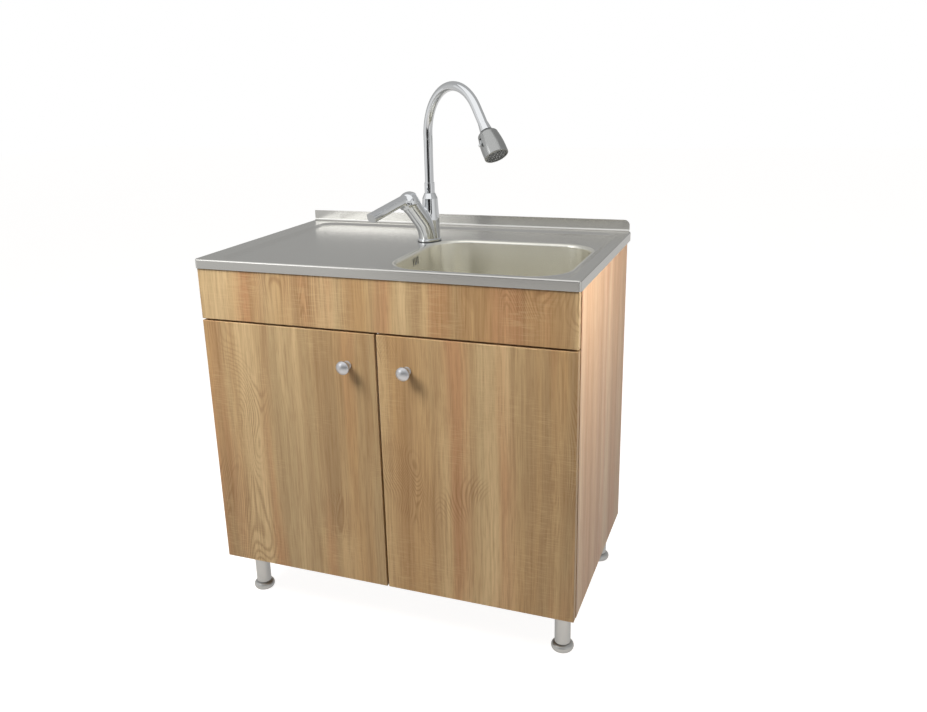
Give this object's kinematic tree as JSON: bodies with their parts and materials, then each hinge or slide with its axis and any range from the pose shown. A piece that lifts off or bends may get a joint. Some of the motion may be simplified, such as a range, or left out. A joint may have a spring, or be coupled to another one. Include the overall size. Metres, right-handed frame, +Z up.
{
  "type": "kitchen sink unit",
  "caption": "Two-door kitchen base cabinet on screw feet under a lay-on steel sink with drainer, bowl and a gooseneck mixer tap with spray head.",
  "frame": {"origin": "on the floor, under the middle of the whole unit", "axes": "+X along the front to the right, +Y to the wall, +Z up"},
  "size_m": [0.8, 0.5254, 1.1285],
  "materials": {
    "satin_steel": "satin pressed stainless steel",
    "oak_front": "melamine board with a sawn light oak print",
    "oak_board": "melamine board with a sawn light oak print",
    "back_board": "thin fibreboard, lacquered white inside",
    "satin_aluminium": "satin, turned",
    "leg_aluminium": "satin",
    "chrome": "polished plate",
    "plated_plastic": "satin plated plastic",
    "grey_rubber": "soft nozzle plate",
    "black_rubber": "matte",
    "clear_rubber": "translucent soft dots",
    "white_plastic": "moulded",
    "brass": "machined",
    "zinc_steel": "zinc and nickel plate"
  },
  "bodies": {
    "root": {"back_panel": "back_board", "back_rail": "oak_board", "bottom_panel": "oak_board", "cam_fittings": "zinc_steel", "cartridge": "white_plastic", "cartridge_nut": "chrome", "fascia_brackets": "zinc_steel", "fascia_panel": "oak_front", "hinge_screws": "zinc_steel", "left_hinge_arms": "zinc_steel", "left_hinge_plates": "zinc_steel", "left_side_panel": "oak_board", "leg_plates": "zinc_steel", "leg_screws": "zinc_steel", "leg_tubes": "leg_aluminium", "overflow_housing": "white_plastic", "overflow_pipe": "white_plastic", "right_hinge_arms": "zinc_steel", "right_hinge_plates": "zinc_steel", "right_side_panel": "oak_board", "sink_bowl": "satin_steel", "sink_deck": "satin_steel", "spout_collar": "chrome", "strainer_body": "white_plastic", "strainer_flange": "satin_steel", "strainer_seal": "black_rubber", "tap_body": "chrome", "tap_nut": "brass", "tap_seal": "black_rubber", "tap_shank": "brass", "tap_washer": "zinc_steel", "trap_body": "white_plastic", "trap_cup": "white_plastic", "trap_nuts": "white_plastic", "trap_outlet": "white_plastic"},
    "left_links": {"left_hinge_links": "zinc_steel"},
    "right_links": {"right_hinge_links": "zinc_steel"},
    "left_door": {"left_door": "oak_front", "left_knob": "satin_aluminium", "left_knob_screw": "zinc_steel", "left_door_bumpers": "clear_rubber", "left_hinge_cups": "zinc_steel"},
    "right_door": {"right_door": "oak_front", "right_knob": "satin_aluminium", "right_knob_screw": "zinc_steel", "right_door_bumpers": "clear_rubber", "right_hinge_cups": "zinc_steel"},
    "carrier": {"cartridge_carrier": "white_plastic"},
    "lever": {"lever": "chrome", "lever_stem": "zinc_steel"},
    "spout": {"spout_tube": "chrome", "spray_ball": "chrome"},
    "spray_head": {"spray_head": "plated_plastic", "spray_face": "grey_rubber"},
    "spray_switch": {"spray_switch": "plated_plastic"},
    "strainer_plug": {"strainer_plug": "satin_steel"},
    "left_front_foot": {"left_front_foot": "leg_aluminium"},
    "left_rear_foot": {"left_rear_foot": "leg_aluminium"},
    "right_front_foot": {"right_front_foot": "leg_aluminium"},
    "right_rear_foot": {"right_rear_foot": "leg_aluminium"}
  },
  "joints": [
    {"name": "left_link_turn", "type": "hinge", "parent": "root", "child": "left_links", "pos_m": [-0.3695, -0.22075, 0.204], "axis": [0, 0, 1], "range_deg": [0, 42.5]},
    {"name": "left_door_turn", "type": "hinge", "parent": "left_links", "child": "left_door", "pos_m": [-0.3875, -0.22175, 0.204], "axis": [0, 0, -1], "range_deg": [0, 142]},
    {"name": "right_link_turn", "type": "hinge", "parent": "root", "child": "right_links", "pos_m": [0.3695, -0.22075, 0.204], "axis": [0, 0, -1], "range_deg": [0, 42.5]},
    {"name": "right_door_turn", "type": "hinge", "parent": "right_links", "child": "right_door", "pos_m": [0.3875, -0.22175, 0.204], "axis": [0, 0, 1], "range_deg": [0, 142]},
    {"name": "lever_turn", "type": "hinge", "parent": "root", "child": "carrier", "pos_m": [-0.03401, 0.0337, 0.88183], "axis": [-0.2631, -0.5642, 0.7826], "range_deg": [-45, 45]},
    {"name": "lever_lift", "type": "hinge", "parent": "carrier", "child": "lever", "pos_m": [-0.03401, 0.0337, 0.88183], "axis": [-0.9063, 0.4226, 0], "range_deg": [0, 25]},
    {"name": "spout_swivel", "type": "hinge", "parent": "root", "child": "spout", "pos_m": [-0.00877, 0.08781, 0.7935], "axis": [0, 0, 1], "continuous": true},
    {"name": "head_tilt", "type": "hinge", "parent": "spout", "child": "spray_head", "pos_m": [0.16906, -0.04139, 1.02761], "axis": [-0.5878, -0.809, 0], "range_deg": [-10, 10]},
    {"name": "switch_rock", "type": "hinge", "parent": "spray_head", "child": "spray_switch", "pos_m": [0.16205, -0.05916, 1.02119], "axis": [-0.6487, 0.4713, -0.5976], "range_deg": [0, 30]},
    {"name": "plug_lift", "type": "slide", "parent": "root", "child": "strainer_plug", "axis": [0, 0, 1], "range_m": [0, 0.06]},
    {"name": "left_front_foot_screw", "type": "slide", "parent": "root", "child": "left_front_foot", "axis": [0, 0, -1], "range_m": [0, 0.02]},
    {"name": "left_rear_foot_screw", "type": "slide", "parent": "root", "child": "left_rear_foot", "axis": [0, 0, -1], "range_m": [0, 0.02]},
    {"name": "right_front_foot_screw", "type": "slide", "parent": "root", "child": "right_front_foot", "axis": [0, 0, -1], "range_m": [0, 0.02]},
    {"name": "right_rear_foot_screw", "type": "slide", "parent": "root", "child": "right_rear_foot", "axis": [0, 0, -1], "range_m": [0, 0.02]}
  ],
  "couplings": [
    {"joint": "left_link_turn", "follows": "left_door_turn", "ratio": 0.29577},
    {"joint": "right_link_turn", "follows": "right_door_turn", "ratio": 0.29577}
  ]
}
